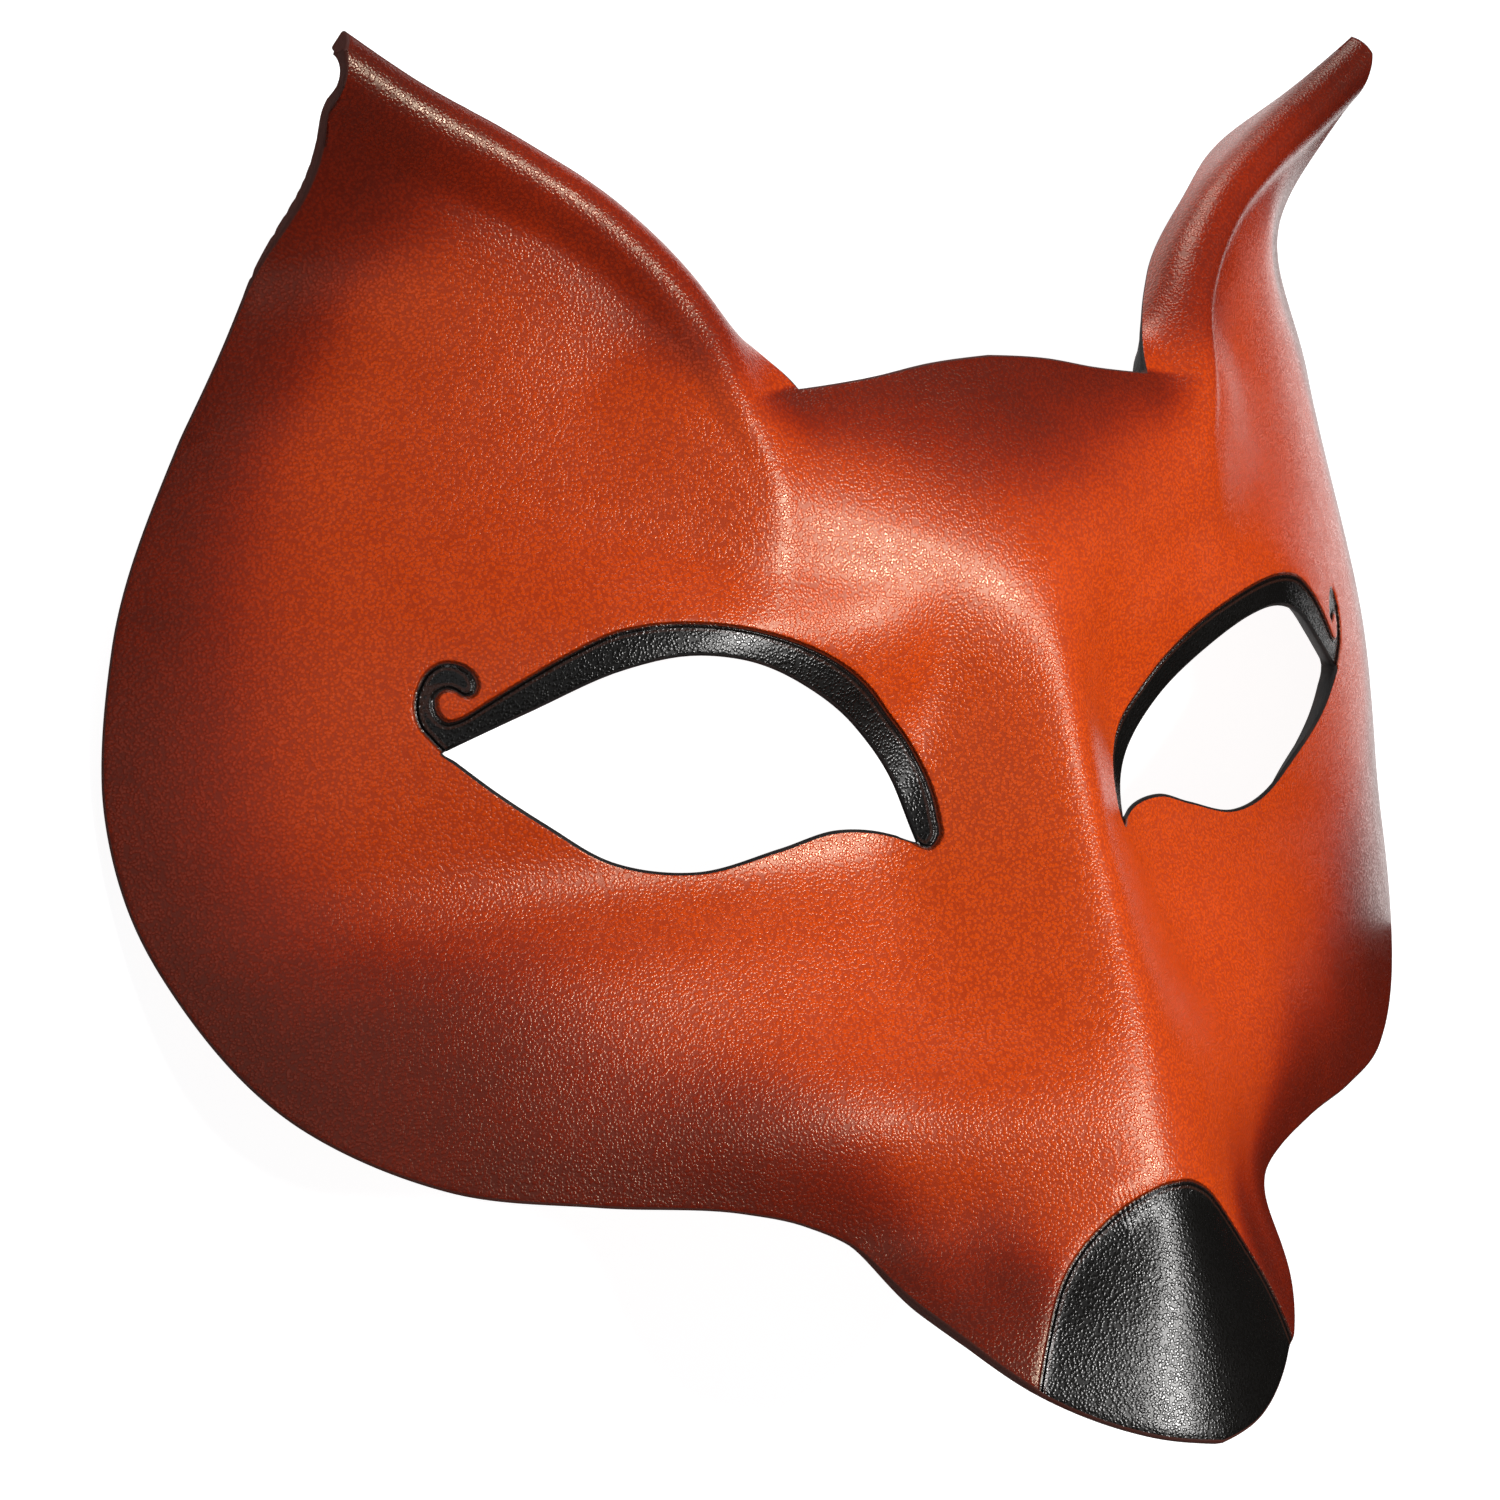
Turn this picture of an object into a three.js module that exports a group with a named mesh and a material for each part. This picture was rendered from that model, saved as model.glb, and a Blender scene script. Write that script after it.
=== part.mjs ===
import * as THREE from "three";

// Fox half mask, wet formed from one hide: millimetres, lying on its rim with the face up.
// The wearer's brow and ears point to +Y, the muzzle to -Y, and X is across the face.
// All outlines below are for the +X half, seen from the front; the other half mirrors it.

// Hide
const hideThickness = 2.4;

// Outline of the half face, from the middle of the nose round the cheek to the ear tip
const cheekOutline = [
  [0, -69.1],
  [8.3, -67.3],
  [19.9, -60.7],
  [27.8, -50.7],
  [31.9, -43.5],
  [36.8, -40.6],
  [43.6, -38.3],
  [58, -35.7],
  [71.8, -32.3],
  [84.3, -23.9],
  [94.6, -5.5],
  [97.7, 13.2],
  [95.3, 29.1],
  [87.1, 50.1],
  [79.1, 66.3],
  [76, 75.3],
  [77.6, 83.1],
];
// Crest of the ear fold, from the ear tip down to the brow
const crestOutline = [
  [78, 89],
  [69.4, 83.8],
  [57.3, 77],
  [47, 69.7],
  [38.5, 59.1],
  [35.1, 49],
  [32.2, 40.6],
  [32.2, 28],
];
const crestKnotAtNotch = 5;
const crestHeights = [-7.4, -7.1, -5.4, -3.5, -1, 1.47, 2.64, 4.42];
// Top edge of the forehead, from the notch beside the ear to the middle
const foreheadOutline = [
  [26.5, 50.7],
  [17.1, 51.5],
  [8.9, 52.7],
  [0, 53.3],
];
// Eye hole, inner corner to outer corner along each lid
const lowerLid = [
  [16.0, -0.2],
  [19.8, 1.3],
  [24.8, 1.9],
  [31.5, 0.6],
  [41.5, -0.95],
  [50.3, 0.9],
  [57.6, 5.4],
  [63.5, 9.8],
  [68.6, 14.6],
];
const upperLid = [
  [68.6, 14.6],
  [60.6, 18.0],
  [51.8, 21.5],
  [45.5, 22.4],
  [39.2, 21.5],
  [30.7, 18.0],
  [23.1, 12.9],
  [17.9, 6.6],
  [16.0, -0.2],
];
// Side view of the nose ridge: distance down the face, height
const ridgeProfile = [
  [-72, 23.4],
  [-60, 22.3],
  [-40, 19.5],
  [-20, 15.9],
  [-9, 13.6],
  [2.4, 11.5],
  [13.6, 10.3],
  [29.5, 8.5],
  [42, 5.6],
  [53.5, 2.1],
];

// Wrap of the face round the head: the drop at the side, and how late it sets in
const wrapHalfWidth = 97;
const wrapDrop = 36.8;
const wrapPower = 2.49;
const earWrapGain = 0.2;
const earWrapFrom = 15;
const earWrapSpan = 50;
// Soft swellings and hollows of each side
const brow = { rise: 5.25, x: 40.5, y: 24, spreadX: 25.3, spreadY: 10.5 };
const eyeHollow = { rise: -3.44, x: 46.8, y: -0.5, spreadX: 34, spreadY: 8 };
const cheekFill = { rise: 4.46, x: 30, y: -29.1, spreadX: 19, spreadY: 12 };
const browRoot = { rise: 3.38, x: 14.5, y: 27.6, spreadX: 11.1, spreadY: 11.5 };
// Nose ridge: slope of its flanks and roundness of its top, muzzle to forehead
const flankStations = [-75, -55, -45, -30, -18, -10, -2, 12, 34, 60];
const flankSlopes = [0.6, 0.57, 0.7, 0.62, 0.85, 0.92, 0.97, 0.88, 0.21, 0.33];
const ridgeStations = [-75, -60, -30, 10, 50, 60];
const ridgeRounding = [6.5, 4.6, 3.4, 2.7, 3.2, 5];
const snoutHalfWidth = 29.3;
// Softness of the valley between the nose and the cheek
const filletStations = [-60, -42, -24, -8, 6, 60];
const fillets = [2.7, 3.8, 7, 4.7, 3, 2.4];
// Lift of the ear tip out of the wrap, along the ear's own direction
const earDirection = [0.72, 0.69];
const earLiftFrom = 96;
const earLiftRate = 0.02;
// The outer edge of the ear tucks back behind the fold
const earTuck = 3.4;
const tuckFrom = [62, 52];
const tuckSpan = [18, 20];
// Rolled ear fold: radius, how far it turns, and how wide the strip behind the crest is
const foldStations = [0, 0.5, 1];
const foldRadii = [3.1, 3.3, 5.7];
const foldTurns = [-103, -92, -88];
const flapStations = [0, 0.2, 0.4, 0.6, 0.8, 1];
const flapWidths = [3.8, 5.2, 9.6, 7.8, 8.8, 6.5];
const notchBlend = 12;
const crestFadeFrom = 22;
const crestFadeSpan = 20;
const browSideSpreads = [5, 5, 5, 5, 5, 5.3, 15.4, 13.3];
// Ear side of the crest: a round top, a steep wall and a fillet, then a slow slope
const wallRadii = [4.2, 5.2, 3.6, 3.2, 3.2, 3.4, 3.4, 3.4];
const wallSlope = 1.75;
const wallFillet = 1.2;
const wallDepths = [3.2, 4.5, 4.6, 3.8, 3, 1.6, 0.6, 0.3];
const slowSpreads = [14, 10, 9, 8, 6.5, 9.1, 8.1, 5.7];

// The knife slants round the eye hole, so that the hole is wider at the back by this much
const eyeSlantTurns = [0, 0.1, 0.8, 1, 1.9, 2];
const eyeSlants = [1.5, 2.3, 2.3, 1, 1, 1.5];

// Mesh: rows from the eye hole outwards, rungs across the ear, and steps along the ear fold
const rowFractions = [0, 0.07, 0.19, 0.34, 0.51, 0.67, 0.79, 0.88, 0.95, 1];
const rungFractions = [0, 0.03, 0.06, 0.09, 0.13, 0.18, 0.26, 0.38, 0.53, 0.7, 0.86, 1];
const earSteps = 15;
const browSteps = 4;
const flapSteps = 5;
const crestKnotAtEarBase = 4;
const cheekKnotAtEarBase = 13;

function smooth(t) {
  const u = Math.min(1, Math.max(0, t));
  return u * u * (3 - 2 * u);
}

function bell(t) {
  return Math.exp(-t * t);
}

function between(stations, values, at) {
  const last = stations.length - 1;
  if (at <= stations[0]) return values[0];
  for (let i = 0; i < last; i += 1) {
    if (at <= stations[i + 1]) {
      const u = (at - stations[i]) / (stations[i + 1] - stations[i]);
      return values[i] * (1 - u) + values[i + 1] * u;
    }
  }
  return values[last];
}

// Smooth curve through points of any dimension, measured along its chords
function curveThrough(points) {
  const size = points[0].length;
  const knots = [0];
  for (let i = 1; i < points.length; i += 1) {
    let sum = 0;
    for (let c = 0; c < size; c += 1) sum += (points[i][c] - points[i - 1][c]) ** 2;
    knots.push(knots[i - 1] + Math.sqrt(sum));
  }
  return curveOnKnots(knots, points);
}

function curveOnKnots(knots, points) {
  const count = points.length;
  const size = points[0].length;
  const slopes = [];
  for (let i = 0; i < count - 1; i += 1) {
    const step = knots[i + 1] - knots[i];
    slopes.push(points[i].map((value, c) => (points[i + 1][c] - value) / step));
  }
  const tangents = points.map((point, i) => {
    if (i === 0 || i === count - 1) return null;
    const before = knots[i] - knots[i - 1];
    const after = knots[i + 1] - knots[i];
    return point.map((value, c) => (
      (slopes[i - 1][c] * after + slopes[i][c] * before) / (before + after)
    ));
  });
  tangents[0] = slopes[0].map((slope, c) => 1.5 * slope - 0.5 * tangents[1][c]);
  tangents[count - 1] = slopes[count - 2].map((slope, c) => (
    1.5 * slope - 0.5 * tangents[count - 2][c]
  ));
  const length = knots[count - 1];
  function at(distance) {
    const d = Math.min(length, Math.max(knots[0], distance));
    let i = 0;
    while (i < count - 2 && d > knots[i + 1]) i += 1;
    const step = knots[i + 1] - knots[i];
    const u = (d - knots[i]) / step;
    const result = [];
    for (let c = 0; c < size; c += 1) {
      result.push(
        (2 * u ** 3 - 3 * u ** 2 + 1) * points[i][c]
        + (u ** 3 - 2 * u ** 2 + u) * step * tangents[i][c]
        + (3 * u ** 2 - 2 * u ** 3) * points[i + 1][c]
        + (u ** 3 - u ** 2) * step * tangents[i + 1][c],
      );
    }
    return result;
  }
  return { length, knots, at };
}

const cheekCurve = curveThrough(cheekOutline);
const crestCurve = curveThrough(crestOutline);
const foreheadCurve = curveThrough(foreheadOutline);
const lowerCurve = curveThrough(lowerLid);
const upperCurve = curveThrough(upperLid);
const crestToNotch = crestCurve.knots[crestKnotAtNotch];

// A number that changes smoothly through its values at the stations
function levels(stations, values) {
  const curve = curveOnKnots(stations, values.map((value) => [value]));
  return (at) => curve.at(at)[0];
}

const ridgeLine = levels(ridgeProfile.map((p) => p[0]), ridgeProfile.map((p) => p[1]));
const crestTop = levels(crestCurve.knots, crestHeights);
const wallDepth = levels(crestCurve.knots, wallDepths);
const wallRadius = levels(crestCurve.knots, wallRadii);
const slowSpread = levels(crestCurve.knots, slowSpreads);
const browSideSpread = levels(crestCurve.knots, browSideSpreads);
const flankSlope = levels(flankStations, flankSlopes);
const ridgeRound = levels(ridgeStations, ridgeRounding);
const fillet = levels(filletStations, fillets);
const foldRadius = levels(foldStations.map((share) => share * crestToNotch), foldRadii);
const foldTurn = levels(foldStations.map((share) => share * crestToNotch), foldTurns);
const flapWidth = levels(flapStations.map((share) => share * crestToNotch), flapWidths);

// Direction of the crest at a distance from the ear tip, and its normal towards the forehead
function crestFrame(along) {
  const a = crestCurve.at(along - 0.05);
  const b = crestCurve.at(along + 0.05);
  const size = Math.hypot(b[0] - a[0], b[1] - a[1]);
  const tx = (b[0] - a[0]) / size;
  const ty = (b[1] - a[1]) / size;
  return { point: crestCurve.at(along), normal: [ty, -tx] };
}

function swelling(form, x, y) {
  return form.rise * bell((x - form.x) / form.spreadX) * bell((y - form.y) / form.spreadY);
}

function faceHeight(x, y) {
  const gain = 1 + earWrapGain * smooth((y - earWrapFrom) / earWrapSpan);
  const wrap = wrapDrop * gain * (Math.abs(x) / wrapHalfWidth) ** wrapPower;
  const reach = earDirection[0] * x + earDirection[1] * y - earLiftFrom;
  const lift = earLiftRate * Math.max(0, reach) ** 2;
  const tuckAcross = smooth((x - tuckFrom[0]) / tuckSpan[0]);
  const tuckUp = smooth((y - tuckFrom[1]) / tuckSpan[1]);
  return swelling(brow, x, y) + swelling(browRoot, x, y) + swelling(eyeHollow, x, y)
    + swelling(cheekFill, x, y) + lift - earTuck * tuckAcross * tuckUp - wrap;
}

function snoutHeight(x, y) {
  const round = ridgeRound(y);
  const fall = Math.sqrt((flankSlope(y) * x) ** 2 + round ** 2) - round;
  return ridgeLine(y) - fall - (x / snoutHalfWidth) ** 4;
}

const crestSampleCount = 220;
const sampleStep = crestCurve.length / crestSampleCount / 2;
const crestSamples = [];
for (let i = 0; i <= crestSampleCount; i += 1) {
  const along = (crestCurve.length * i) / crestSampleCount;
  crestSamples.push({ ...crestFrame(along), along });
}

// Signed distance past the crest, positive towards the forehead, and the place along it
function crestDistance(x, y) {
  let best = 0;
  let least = Infinity;
  crestSamples.forEach((sample, i) => {
    const gap = (x - sample.point[0]) ** 2 + (y - sample.point[1]) ** 2;
    if (gap < least) {
      least = gap;
      best = i;
    }
  });
  const { point, normal, along } = crestSamples[best];
  const dx = x - point[0];
  const dy = y - point[1];
  const slide = Math.max(-sampleStep, Math.min(sampleStep, dy * normal[0] - dx * normal[1]));
  return { past: dx * normal[0] + dy * normal[1], along: along + slide };
}

// Stand of the hide over the foot of the crest's wall: an arc, then a slope, cut off smoothly
function crestWall(away, depth, radius) {
  const turned = (radius * wallSlope) / Math.hypot(1, wallSlope);
  const arc = Math.min(away, turned);
  const drop = radius - Math.sqrt(radius ** 2 - arc ** 2) + (away - arc) * wallSlope;
  const foot = depth - wallFillet ** 2 / (4 * depth);
  return 0.5 * (foot - drop + Math.sqrt((drop - foot) ** 2 + wallFillet ** 2));
}

// Front face of the hide as a height over the plan
function height(x, y) {
  const face = faceHeight(x, y);
  const crest = crestDistance(x, y);
  const stand = crestTop(crest.along) - face;
  const depth = wallDepth(crest.along);
  const away = Math.max(0, -crest.past);
  const earSide = (stand - depth) * bell(away / slowSpread(crest.along))
    + crestWall(away, depth, wallRadius(crest.along));
  const browSide = stand * bell(crest.past / browSideSpread(crest.along));
  const fade = smooth((y - crestFadeFrom) / crestFadeSpan);
  const cheek = face + (crest.past > 0 ? browSide : earSide) * fade;
  const snout = snoutHeight(x, y);
  return 0.5 * (cheek + snout + Math.sqrt((cheek - snout) ** 2 + fillet(y) ** 2));
}

// Direction straight out of the front face, from the slopes of its height
function heightNormal(x, y) {
  const step = 0.05;
  const across = x > 0 ? (height(x + step, y) - height(x - step, y)) / (2 * step) : 0;
  const up = (height(x, y + step) - height(x, y - step)) / (2 * step);
  return new THREE.Vector3(-across, -up, 1).normalize();
}

function facePoint(plan) {
  return { place: onPlan(plan), normal: heightNormal(plan[0], plan[1]) };
}

// The strip behind the crest rolls back on its radius and then runs straight
function foldOver(along, past) {
  const { point, normal } = crestFrame(along);
  const top = height(point[0], point[1]);
  const radius = foldRadius(along);
  const turn = (foldTurn(along) * Math.PI) / 180;
  const arc = Math.min(past, -radius * turn);
  const angle = arc / radius;
  const out = radius * Math.sin(angle) + (past - arc) * Math.cos(turn);
  const down = radius * (1 - Math.cos(angle)) - (past - arc) * Math.sin(turn);
  return [point[0] + normal[0] * out, point[1] + normal[1] * out, top - down];
}

// Eye outline: 0 to 1 along the lower lid, 1 to 2 back along the upper lid
function eyePoint(turn) {
  const t = ((turn % 2) + 2) % 2;
  return t <= 1 ? lowerCurve.at(lowerCurve.length * t) : upperCurve.at(upperCurve.length * (t - 1));
}

function onPlan(point) {
  return [point[0], point[1], height(point[0], point[1])];
}

function lineBetween(a, b) {
  return (u) => [a[0] + (b[0] - a[0]) * u, a[1] + (b[1] - a[1]) * u];
}

const crestEnd = crestOutline[crestKnotAtNotch];
const notch = foreheadOutline[0];
const topCentre = foreheadOutline[foreheadOutline.length - 1];
const noseCentre = cheekOutline[0];

function cheekRun(fromKnot, toKnot) {
  const a = cheekCurve.knots[fromKnot];
  const b = cheekCurve.knots[toKnot];
  return (u) => cheekCurve.at(a + (b - a) * u);
}

function crestRun(fromKnot, toKnot) {
  const a = crestCurve.knots[fromKnot];
  const b = crestCurve.knots[toKnot];
  return (u) => a + (b - a) * u;
}

function evenStops(count) {
  return Array.from({ length: count + 1 }, (_, i) => i / count);
}

const earAlong = crestRun(0, crestKnotAtEarBase);
const browAlong = crestRun(crestKnotAtEarBase, crestKnotAtNotch);
const earEdge = cheekRun(cheekOutline.length - 1, cheekKnotAtEarBase);
const earBase = lineBetween(earEdge(1), crestCurve.at(earAlong(1)));
const earBaseStops = rungFractions.map((f) => 1 - f).reverse();

// Outline of the face below the ear, with the stretch of eye outline that each run faces
const runs = [
  { rim: cheekRun(0, 2), eye: [0.06, 0.1], stops: evenStops(6) },
  { rim: cheekRun(2, 5), eye: [0.1, 0.22], stops: evenStops(8) },
  { rim: cheekRun(5, 7), eye: [0.22, 0.46], stops: evenStops(7) },
  { rim: cheekRun(7, 9), eye: [0.46, 0.77], stops: evenStops(8) },
  { rim: cheekRun(9, 11), eye: [0.77, 1], stops: evenStops(9) },
  { rim: cheekRun(11, cheekKnotAtEarBase), eye: [1, 1.14], stops: evenStops(7) },
  { rim: earBase, eye: [1.14, 1.54], stops: earBaseStops },
  { rim: (u) => crestCurve.at(browAlong(u)), eye: [1.54, 1.62], stops: evenStops(browSteps) },
  { rim: lineBetween(crestEnd, notch), eye: [1.62, 1.7], stops: evenStops(flapSteps) },
  { rim: (u) => foreheadCurve.at(foreheadCurve.length * u), eye: [1.7, 1.83], stops: evenStops(5) },
  { rim: lineBetween(topCentre, [0, 25]), eye: [1.83, 1.91], stops: evenStops(5) },
  { rim: lineBetween([0, 25], [0, 0]), eye: [1.91, 2], stops: evenStops(5) },
  { rim: lineBetween([0, 0], [0, -22]), eye: [2, 2], stops: evenStops(4) },
  { rim: lineBetween([0, -22], noseCentre), eye: [2, 2.06], stops: evenStops(8) },
];

// Step away from the eye hole that the slanted cut makes at a place on its outline
function slantStep(turn) {
  const a = eyePoint(turn - 0.01);
  const b = eyePoint(turn + 0.01);
  const size = Math.hypot(b[0] - a[0], b[1] - a[1]);
  const amount = between(eyeSlantTurns, eyeSlants, turn % 2);
  return [(amount * (b[1] - a[1])) / size, (-amount * (b[0] - a[0])) / size];
}

// Grid of face points: spokes from the eye hole, rows outwards
function faceSpokes(slant) {
  const spokes = [];
  runs.forEach((run) => {
    run.stops.slice(0, -1).forEach((u) => {
      const turn = run.eye[0] + (run.eye[1] - run.eye[0]) * u;
      const spoke = lineBetween(eyePoint(turn), run.rim(u));
      const step = slantStep(turn);
      spokes.push(rowFractions.map((f) => {
        const share = slant * (1 - f) ** 2;
        return facePoint([spoke(f)[0] + step[0] * share, spoke(f)[1] + step[1] * share]);
      }));
    });
  });
  spokes.push(spokes[0]);
  return spokes;
}

// Rungs across the ear, from its outer edge to the crest of the fold
function earRungs() {
  return evenStops(earSteps).map((u) => {
    const rung = lineBetween(crestCurve.at(earAlong(u)), earEdge(u));
    return rungFractions.map((f) => facePoint(rung(f)));
  });
}

// Place on the strip behind the crest, which is tied to the forehead at the notch
const seam = lineBetween(crestEnd, notch);
function stripPlace(along, u) {
  const tie = smooth(1 - (crestToNotch - along) / notchBlend);
  const free = foldOver(along, flapWidth(along) * u);
  const last = foldOver(crestToNotch, flapWidths[flapWidths.length - 1] * u);
  const fixed = onPlan(seam(u));
  return new THREE.Vector3(...free.map((value, c) => value + (fixed[c] - last[c]) * tie));
}

function stripPoint(along, u) {
  const place = stripPlace(along, u);
  const onward = stripPlace(along + 0.05, u).sub(place);
  const over = stripPlace(along, u + 0.01).sub(place);
  return { place: place.toArray(), normal: over.cross(onward).normalize() };
}

function stripSpokes() {
  const alongs = evenStops(earSteps).map(earAlong);
  alongs.push(...evenStops(browSteps).slice(1).map(browAlong));
  return alongs.map((along) => evenStops(flapSteps).map((u) => stripPoint(along, u)));
}

// One face of the hide: both halves as points, triangles and the normal at each point
function buildSkin(slant) {
  const points = [];
  const normals = [];
  const triangles = [];
  const known = new Map();
  function pointIndex({ place, normal }, side) {
    const x = Math.abs(place[0]) < 1e-6 ? 0 : place[0] * side;
    const key = [x, place[1], place[2]].map((value) => Math.round(value * 1e4)).join(" ");
    if (!known.has(key)) {
      known.set(key, points.length);
      points.push(new THREE.Vector3(x, place[1], place[2]));
      normals.push(new THREE.Vector3(normal.x * side, normal.y, normal.z));
    }
    return known.get(key);
  }
  function addTriangle(a, b, c) {
    if (a === b || b === c || c === a) return;
    triangles.push([a, b, c]);
  }
  function addGrid(lines, side) {
    for (let i = 0; i < lines.length - 1; i += 1) {
      for (let j = 0; j < lines[i].length - 1; j += 1) {
        const a = pointIndex(lines[i][j], side);
        const b = pointIndex(lines[i + 1][j], side);
        const c = pointIndex(lines[i + 1][j + 1], side);
        const d = pointIndex(lines[i][j + 1], side);
        if (side > 0) {
          addTriangle(a, d, c);
          addTriangle(a, c, b);
        } else {
          addTriangle(a, c, d);
          addTriangle(a, b, c);
        }
      }
    }
  }
  const face = faceSpokes(slant);
  const ear = earRungs().reverse();
  const strip = stripSpokes();
  [1, -1].forEach((side) => {
    addGrid(face, side);
    addGrid(ear, side);
    addGrid(strip, side);
  });
  return { points, triangles, normals };
}

// Solid shell: the front face, the back face set in by the hide's thickness, and the cut edges
function buildShell() {
  const outer = buildSkin(0);
  const inner = buildSkin(1);
  const front = outer.points.length;
  const points = [...outer.points];
  inner.points.forEach((point, i) => {
    points.push(point.clone().addScaledVector(inner.normals[i], -hideThickness));
  });
  const triangles = [...outer.triangles];
  inner.triangles.forEach(([a, b, c]) => triangles.push([a + front, c + front, b + front]));
  const corners = outer.triangles.flatMap(([a, b, c]) => [`${a} ${b}`, `${b} ${c}`, `${c} ${a}`]);
  const edges = new Set(corners);
  edges.forEach((edge) => {
    const [a, b] = edge.split(" ").map(Number);
    if (edges.has(`${b} ${a}`)) return;
    triangles.push([a, a + front, b + front]);
    triangles.push([a, b + front, b]);
  });

  const geometry = new THREE.BufferGeometry();
  geometry.setAttribute("position", new THREE.Float32BufferAttribute(
    points.flatMap((p) => [p.x, p.y, p.z]),
    3,
  ));
  geometry.setIndex(triangles.flat());
  return geometry;
}

const shellGeometry = buildShell();
shellGeometry.computeBoundingBox();
const box = shellGeometry.boundingBox;
shellGeometry.translate(0, -(box.min.y + box.max.y) / 2, -box.min.z);
shellGeometry.computeVertexNormals();

const dyedLeather = new THREE.MeshStandardMaterial({
  color: "#b4431c",
  roughness: 0.5,
  metalness: 0,
});
const maskShell = new THREE.Mesh(shellGeometry, dyedLeather);
maskShell.name = "mask_shell";

const mask = new THREE.Group();
mask.name = "fox_half_mask";
mask.add(maskShell);

export default mask;
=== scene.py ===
import math

import bpy
import numpy as np
from mathutils import Matrix, Vector


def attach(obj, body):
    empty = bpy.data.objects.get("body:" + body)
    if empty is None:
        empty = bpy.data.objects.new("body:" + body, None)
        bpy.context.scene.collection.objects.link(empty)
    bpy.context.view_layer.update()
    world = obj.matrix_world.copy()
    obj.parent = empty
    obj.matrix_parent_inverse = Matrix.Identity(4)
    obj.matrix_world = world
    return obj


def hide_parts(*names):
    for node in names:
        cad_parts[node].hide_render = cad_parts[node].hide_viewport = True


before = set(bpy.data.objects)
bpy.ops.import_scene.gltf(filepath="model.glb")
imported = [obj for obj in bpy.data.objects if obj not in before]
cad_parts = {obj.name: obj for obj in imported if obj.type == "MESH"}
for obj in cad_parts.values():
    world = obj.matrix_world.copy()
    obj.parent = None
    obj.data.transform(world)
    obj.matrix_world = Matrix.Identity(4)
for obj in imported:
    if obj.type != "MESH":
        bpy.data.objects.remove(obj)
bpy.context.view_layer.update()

print("frame loaded")

# The shape is worked out in millimetres round the middle of the wearer's eyes, one half at a
# time: x across the face, y up to the ears, z out of the face. faceOrigin moves it into the frame.
faceOrigin = np.array([0.0, -11.093, 39.199])
metre = 1000.0

hide = {
    "thickness": 2.4,
    "edgeRounding": 0.35,
    "slantTurns": [0, 0.1, 0.8, 1, 1.9, 2],      # round the eye hole: lower lid 0-1, upper lid 1-2
    "slants": [1.5, 2.3, 2.3, 1.0, 1.0, 1.5],    # how much wider the hole is at the back
}

outlines = {
    "cheek": [   # from the tip of the nose round the cheek to the tip of the ear
        [0, -69.1], [8.3, -67.3], [19.9, -60.7], [27.8, -50.7], [31.9, -43.5], [36.8, -40.6],
        [43.6, -38.3], [58.0, -35.7], [71.8, -32.3], [84.3, -23.9], [94.6, -5.5], [97.7, 13.2],
        [95.3, 29.1], [87.1, 50.1], [79.1, 66.3], [76.0, 75.3], [77.6, 83.1],
    ],
    "crest": [   # of the ear fold, from its tip down to the brow
        [78.0, 89.0], [69.4, 83.8], [57.3, 77.0], [47.0, 69.7], [38.5, 59.1], [35.1, 49.0],
        [32.2, 40.6], [32.2, 28.0],
    ],
    "crestHeights": [-7.4, -7.1, -5.4, -3.5, -1.0, 1.47, 2.64, 4.42],
    "forehead": [[26.5, 50.7], [17.1, 51.5], [8.9, 52.7], [0, 53.3]],
    "lowerLid": [
        [16.0, -0.2], [19.8, 1.3], [24.8, 1.9], [31.5, 0.6], [41.5, -0.95], [50.3, 0.9],
        [57.6, 5.4], [63.5, 9.8], [68.6, 14.6],
    ],
    "upperLid": [
        [68.6, 14.6], [60.6, 18.0], [51.8, 21.5], [45.5, 22.4], [39.2, 21.5], [30.7, 18.0],
        [23.1, 12.9], [17.9, 6.6], [16.0, -0.2],
    ],
    "earBaseOnCheek": 13,     # knots where the ear joins the face
    "earBaseOnCrest": 4,
    "notchOnCrest": 5,
}

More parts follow.
